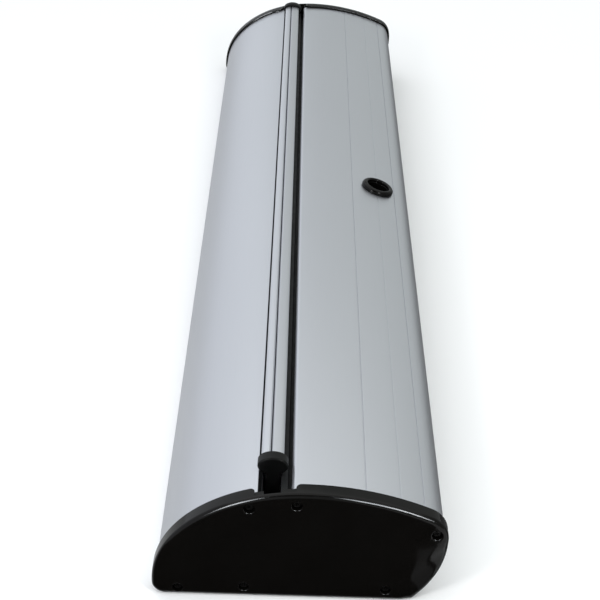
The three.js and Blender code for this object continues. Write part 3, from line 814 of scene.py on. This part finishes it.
# ---------------------------------------------------------------- slot guides
def slot_guides():
    floor = FLANGE_BOTTOM - GAP
    foot = floor - GUIDE_WALL
    blade = BLADE_HIGH.x
    hook = SLOT_FRONT - SHELL_WALL - GAP
    front = [
        (blade, BLADE_HIGH.z), (blade, foot), (hook - GUIDE_HOOK, foot), (hook - GUIDE_HOOK, floor + 1),
        (hook, floor + 1), (hook, floor), (blade - GUIDE_BLADE, floor), (blade - GUIDE_BLADE, BLADE_HIGH.z),
    ]
    obj = extruded("slot_guide_front_strip", eased(front, 0.3), -SHELL_END, SHELL_END, 4)
    placed(smooth(obj), "cassette", "dark_grey_plastic", "slot_guide_front")
    ledge, top = LEDGE_LOW.x, LEDGE_HIGH.z
    back = LEDGE_REAR
    under = top - LEDGE_WALL
    hook = SLOT_REAR + SHELL_WALL + GAP
    rear = [
        (ledge, top), (back, top), (back, floor), (hook, floor), (hook, floor + 3),
        (hook + GUIDE_HOOK, floor + 3), (hook + GUIDE_HOOK, foot),
        (back - LEDGE_WALL, foot), (back - LEDGE_WALL, under), (ledge, under),
    ]
    obj = extruded("slot_guide_rear_strip", eased(rear, 0.45), -SHELL_END, SHELL_END, 4)
    placed(smooth(obj), "cassette", "dark_grey_plastic", "slot_guide_rear")


# ---------------------------------------------------------------- rail
def crown(x0, x1, margin=0.0):
    """The crowned top of the rail between two places across it."""
    rx = (RAIL_HIGH.x - CLAMP_LOW.x) / 2 + margin
    base = RAIL_HIGH.z - RAIL_CROWN
    start = math.acos(max(-1, min(1, (x0 - RAIL_X) / rx)))
    end = math.acos(max(-1, min(1, (x1 - RAIL_X) / rx)))
    return arc(RAIL_X, base, rx, RAIL_CROWN + margin, start, end, 20)


def rail_body():
    stem = RAIL_X + RAIL_STEM / 2
    head = RAIL_HIGH.x
    face = FILM_HIGH.x + GAP
    split = RAIL_SPLIT + GAP
    outline = [
        (split, RAIL_SHOULDER + 0.5),
        (split, RAIL_HIGH.z - SPLIT_BEVEL - 0.2),
        *crown(split + SPLIT_BEVEL, head),
        (head, RAIL_SHOULDER + 1),
        (head - 1, RAIL_SHOULDER),
        (stem, RAIL_SHOULDER),
        (stem, RAIL_LOW.z),
        (face, RAIL_LOW.z),
        (face, RAIL_SHOULDER + 0.5),
    ]
    obj = extruded("top_rail_body_bar", eased(outline, 0.25), RAIL_LOW.y, RAIL_HIGH.y, 6)
    placed(smooth(obj), "top_rail", "anodised_aluminium", "top_rail_body")


def rail_clamp():
    stem = RAIL_X - RAIL_STEM / 2
    head = CLAMP_LOW.x
    face = FILM_LOW.x - GAP - 0.6
    split = RAIL_SPLIT - GAP
    grip_low, grip_high = corners("top_rail_grip")
    outline = [
        *crown(head, split - SPLIT_BEVEL),
        (split, RAIL_HIGH.z - SPLIT_BEVEL - 0.2),
        (split, RAIL_SHOULDER + 0.6),
        (face, RAIL_SHOULDER + 0.4),
        (face, grip_high.z + GAP),
        (face - 1, grip_high.z + GAP),
        (face - 1, grip_low.z - GAP),
        (face, grip_low.z - GAP),
        (face, CLAMP_LOW.z),
        (stem, CLAMP_LOW.z),
        (stem, RAIL_SHOULDER),
        (head + 1, RAIL_SHOULDER),
        (head, RAIL_SHOULDER + 1),
    ]
    obj = extruded("top_rail_clamp_bar", eased(outline, 0.25), CLAMP_LOW.y, CLAMP_HIGH.y, 6)
    placed(smooth(obj), "top_rail", "anodised_aluminium", "top_rail_clamp")


def rail_socket(margin):
    """The rail's whole outline, grown, for the pocket in its plugs."""
    head = RAIL_HIGH.x - RAIL_X + margin
    stem = RAIL_STEM / 2 + margin
    bottom = RAIL_LOW.z - margin
    return [
        (RAIL_X - stem, bottom),
        (RAIL_X - stem, RAIL_SHOULDER - margin),
        (RAIL_X - head, RAIL_SHOULDER - margin),
        *crown(RAIL_X - head, RAIL_X + head, margin),
        (RAIL_X + head, RAIL_SHOULDER - margin),
        (RAIL_X + stem, RAIL_SHOULDER - margin),
        (RAIL_X + stem, bottom),
    ]


def plug_head(inset):
    half_x = (PLUG_HIGH.x - PLUG_LOW.x) / 2
    half_z = PLUG_HEIGHT / 2
    x = (PLUG_HIGH.x + PLUG_LOW.x) / 2
    return arc(x, PLUG_HIGH.z - half_z, half_x - inset, half_z - inset, 0, 2 * math.pi, 64)[:-1]


def plug_stem(inset):
    half = PLUG_STEM_HALF - inset
    x = RAIL_X + PLUG_STEM_SHIFT
    outline = rectangle(x - half, x + half, PLUG_LOW.z + inset, PLUG_HIGH.z - PLUG_HEIGHT / 2)
    return eased(outline, 1.2)


def rail_plugs():
    front, back = PLUG_LOW.y, PLUG_HIGH.y
    made = rounded_blank("top_rail_plug_near_moulding", plug_head, front, back, PLUG_ROUND)
    joined(made, rounded_blank("stem", plug_stem, front, FILM_LOW.y, PLUG_STEM_ROUND))
    cut(made, extruded("pocket", rail_socket(GAP), RAIL_LOW.y - GAP, back + 10))
    bevelled(made, 0.3)
    smooth(made)
    # The far plug is the near one mirrored about the middle of the banner
    made.data.transform(Matrix.Translation((0, -BANNER_SHIFT * MM, 0)))
    far = mirrored(made, "top_rail_plug_far_moulding")
    for obj in (made, far):
        obj.data.transform(Matrix.Translation((0, BANNER_SHIFT * MM, 0)))
    placed(made, "top_rail", "satin_black_plastic", "top_rail_plug_near")
    placed(far, "top_rail", "satin_black_plastic", "top_rail_plug_far")


# ---------------------------------------------------------------- banner
def banner_web():
    """The run of film from the roll up into the rail."""
    x0, x1 = FILM_LOW.x + WEB_CLEARANCE, FILM_HIGH.x - WEB_CLEARANCE
    rings = []
    for z in np.linspace(FILM_LOW.z, FILM_HIGH.z, WEB_ROWS + 1):
        rings.append([(x0, FILM_LOW.y, z), (x1, FILM_LOW.y, z), (x1, FILM_HIGH.y, z), (x0, FILM_HIGH.y, z)])
    obj = loft("banner_web_film", rings)
    smooth(obj)
    painted(obj, "banner_film")
    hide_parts("banner_web")
    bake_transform(obj)


def banner_roll():
    """The wound banner: one long spiral of film, tight on the roller."""
    radius = (ROLL_HIGH.x - ROLL_LOW.x) / 2
    core = (TUBE_HIGH.x - TUBE_LOW.x) / 2 + GAP
    x = (ROLL_HIGH.x + ROLL_LOW.x) / 2
    z = (ROLL_HIGH.z + ROLL_LOW.z) / 2
    outer, inner = [], []
    for share in np.linspace(0, 1, ROLL_TURNS * 40 + 1):
        angle = math.pi - (1 - share) * ROLL_TURNS * 2 * math.pi
        r = core + ROLL_FILM + (radius - core - ROLL_FILM) * share
        outer.append((x + r * math.cos(angle), z + r * math.sin(angle)))
        inner.append((x + (r - ROLL_FILM) * math.cos(angle), z + (r - ROLL_FILM) * math.sin(angle)))
    obj = extruded("banner_roll_film", outer + inner[::-1], ROLL_LOW.y, ROLL_HIGH.y)
    placed(smooth(obj), "roller", "banner_film", "banner_roll")


# ---------------------------------------------------------------- pole socket and feet
def pole_ring():
    """The black ring round the pole hole, with a rolled top and a stepped mouth."""
    profile = [
        (9.7, -5),
        (9.7, 0.6),
        (10.1, 1.0),
        *arc(11.2, 2.7, 1.5, 1.5, math.radians(200), math.radians(90), 6),
        *arc(11.2, 1.2, 3.0, 3.0, math.radians(80), math.radians(0), 8),
        (14.2, GAP),
        (11.6, GAP),
        (11.6, -5),
    ]
    obj = on_socket_axis(lathe("pole_socket_ring_moulding", profile, 96))
    placed(smooth(obj, 50), "cassette", "gloss_black_plastic", "pole_socket_ring")


def rubber_feet():
    for number in (1, 2, 3, 4):
        node = f"rubber_foot_{number}"
        low, high = corners(node)
        radius = (high.x - low.x) / 2
        rings = []
        for step in range(3):
            rim = radius - FOOT_GROOVE_PITCH * step
            rings += [(rim - 2.6, 0), (rim - 2.9, FOOT_GROOVE_DEPTH)]
            rings += [(rim - 3.5, FOOT_GROOVE_DEPTH), (rim - 3.8, 0)]
        profile = [
            (0.01, high.z),
            (radius, high.z),
            *arc(radius - FOOT_EDGE, FOOT_EDGE, FOOT_EDGE, FOOT_EDGE, 0, -math.pi / 2, 5),
            *rings,
            (0.01, 0),
        ]
        obj = lathe(node + "_pad", profile, 48)
        obj.data.transform(Matrix.Translation(((low.x + high.x) / 2 * MM, (low.y + high.y) / 2 * MM, 0)))
        placed(smooth(obj), "cassette", "black_rubber", node)


def carried_over():
    """Gives every CAD node that still shows a procedural finish."""
    for part in frame["record"]["subparts"]:
        obj = frame["nodes"][part["node"]]
        if not obj.hide_render:
            painted(obj, part["material_slot"])


front_shell()
rear_shell()
end_caps()
cap_screws()
socket_screws()
slot_guides()
rail_body()
rail_clamp()
rail_plugs()
banner_web()
banner_roll()
pole_ring()
rubber_feet()
carried_over()


# ---------------------------------------------------------------- floor and light
FLOOR_DROP = 0.0003
FLOOR_SIZE = 6
CARD_LIFT = 0.0006
WINDOW_TONE = 0.5
WINDOW_GLOW = 40
WINDOW_COLOUR = (0.9, 0.95, 1.0, 1)
TOP_SIZE, TOP_POWER = (4.4, 4.4), 40
STRIP_SIZE, STRIP_POWER = (0.3, 0.3), 5
SKY_LEFT = (0.88, 0.91, 0.99, 1)
SKY_RIGHT = (0.36, 0.38, 0.37, 1)
SKY_BETWEEN = [
    (0.33, (0.56, 0.595, 0.585)),
    (0.48, (0.52, 0.55, 0.545)),
    (0.66, (0.89, 0.93, 0.965)),
]


def make_floor():
    bm = bmesh.new()
    bmesh.ops.create_grid(bm, x_segments=8, y_segments=8, size=FLOOR_SIZE)
    floor = from_bmesh("floor", bm)
    floor.location.z = -FLOOR_DROP
    finish = Finish("floor_paper", linear(250, 250, 250), 0.9, specular=0.1)
    finish.clouds(1.5, 0.01).polish(3, 0.03).relief(40, 0.05, 0.0005)
    floor.data.materials.append(finish.done())


def make_card(name, corners_at, tone, glow=0.0):
    """A card that only reflections see: dark as the room round the object, or lit as a window."""
    bm = bmesh.new()
    bm.faces.new([bm.verts.new(corner) for corner in corners_at])
    card = from_bmesh(name, bm)
    finish = Finish(name + "_card", (tone, tone, tone), 0.9, specular=0.0)
    finish.shader.inputs["Emission Color"].default_value = WINDOW_COLOUR
    finish.shader.inputs["Emission Strength"].default_value = glow
    finish.clouds(2, 0.02).polish(3, 0.03).relief(40, 0.05, 0.0005)
    card.data.materials.append(finish.done())
    card.visible_camera = False
    card.visible_diffuse = False
    card.visible_shadow = False
    return card


def only_on_caps(card):
    """A window's highlight shows on the glossy end caps alone."""
    caps = bpy.data.collections.get("cap_highlights") or bpy.data.collections.new("cap_highlights")
    if not caps.objects:
        caps.objects.link(bpy.data.objects["end_cap_near_moulding"])
        caps.objects.link(bpy.data.objects["end_cap_far_moulding"])
    card.light_linking.receiver_collection = caps


def on_floor(x0, x1, y0, y1):
    return [(x, y, CARD_LIFT) for x, y in ((x0, y0), (x1, y0), (x1, y1), (x0, y1))]


def lifted(corners_at):
    """The same card, clear of the one it lies on."""
    return [(x, y, z + CARD_LIFT) for x, y, z in corners_at]


def upright(x0, x1, y, z0, z1):
    return [(x0, y, z0), (x1, y, z0), (x1, y, z1), (x0, y, z1)]


def make_cards():
    half = HALF_WIDTH * MM
    end = END * MM
    edge = half + 0.003
    make_card("flag_front", on_floor(-0.8, edge, -end - 1.5, -end - 0.001), 0.03)
    make_card("flag_rear", on_floor(edge, 1.6, -end, 2.5), 0.13)
    make_card("flag_corner", lifted(on_floor(0.079, 0.092, -end - 0.05, -end)), 0.25, 0.1)
    make_card("flag_left", on_floor(-1.6, -half, -end, 2.5), 0.54)
    sloping = [(-1.0, -2.2, 1.5), (1.0, -2.2, 1.5), (1.0, -1.1, 3.2), (-1.0, -1.1, 3.2)]
    make_card("flag_above", sloping, 0.03)
    left = upright(-0.95, -0.5, -1.3, 0.6, 1.4)
    right = upright(0.3, 1.0, -1.3, 0.65, 1.4)
    only_on_caps(make_card("window_left", left, WINDOW_TONE, WINDOW_GLOW))
    only_on_caps(make_card("window_right", right, WINDOW_TONE, WINDOW_GLOW))


def area_light(name, place, target, size, energy, colour=(1, 1, 1)):
    data = bpy.data.lights.new(name, "AREA")
    data.shape = "RECTANGLE"
    data.size, data.size_y = size
    data.energy = energy
    data.color = colour
    light = bpy.data.objects.new(name, data)
    light.location = place
    aim = Vector(target) - Vector(place)
    light.rotation_mode = "QUATERNION"
    light.rotation_quaternion = aim.to_track_quat("-Z", "Y")
    bpy.context.scene.collection.objects.link(light)


def make_sky():
    """Soft surroundings, bright and cool on the left, dimmer and more neutral on the right."""
    world = bpy.data.worlds.new("studio")
    world.use_nodes = True
    nodes, links = world.node_tree.nodes, world.node_tree.links
    place = nodes.new("ShaderNodeTexCoord")
    parts = nodes.new("ShaderNodeSeparateXYZ")
    links.new(place.outputs["Generated"], parts.inputs["Vector"])
    across = nodes.new("ShaderNodeMapRange")
    across.inputs["From Min"].default_value = 1
    across.inputs["From Max"].default_value = -1
    links.new(parts.outputs["X"], across.inputs["Value"])
    ramp = nodes.new("ShaderNodeValToRGB")
    stops = ramp.color_ramp.elements
    stops[1].position, stops[1].color = 1, SKY_LEFT
    stops[0].position, stops[0].color = 0, SKY_RIGHT
    for position, colour in SKY_BETWEEN:
        stops.new(position).color = colour + (1,)
    links.new(across.outputs["Result"], ramp.inputs["Fac"])
    links.new(ramp.outputs["Color"], nodes["Background"].inputs["Color"])
    nodes["Background"].inputs["Strength"].default_value = 1.0
    bpy.context.scene.world = world


def make_light():
    make_sky()
    area_light("top", (0, 0.3, 2.6), (0, 0, 0), TOP_SIZE, TOP_POWER)
    area_light("strip_left", (-0.75, -1.2, 0.9), (-0.04, -0.45, 0.07), STRIP_SIZE, STRIP_POWER)
    area_light("strip_right", (0.75, -1.2, 0.95), (0.07, -0.45, 0.06), STRIP_SIZE, STRIP_POWER)


make_floor()
make_cards()
make_light()
bpy.context.scene.view_settings.view_transform = "Standard"
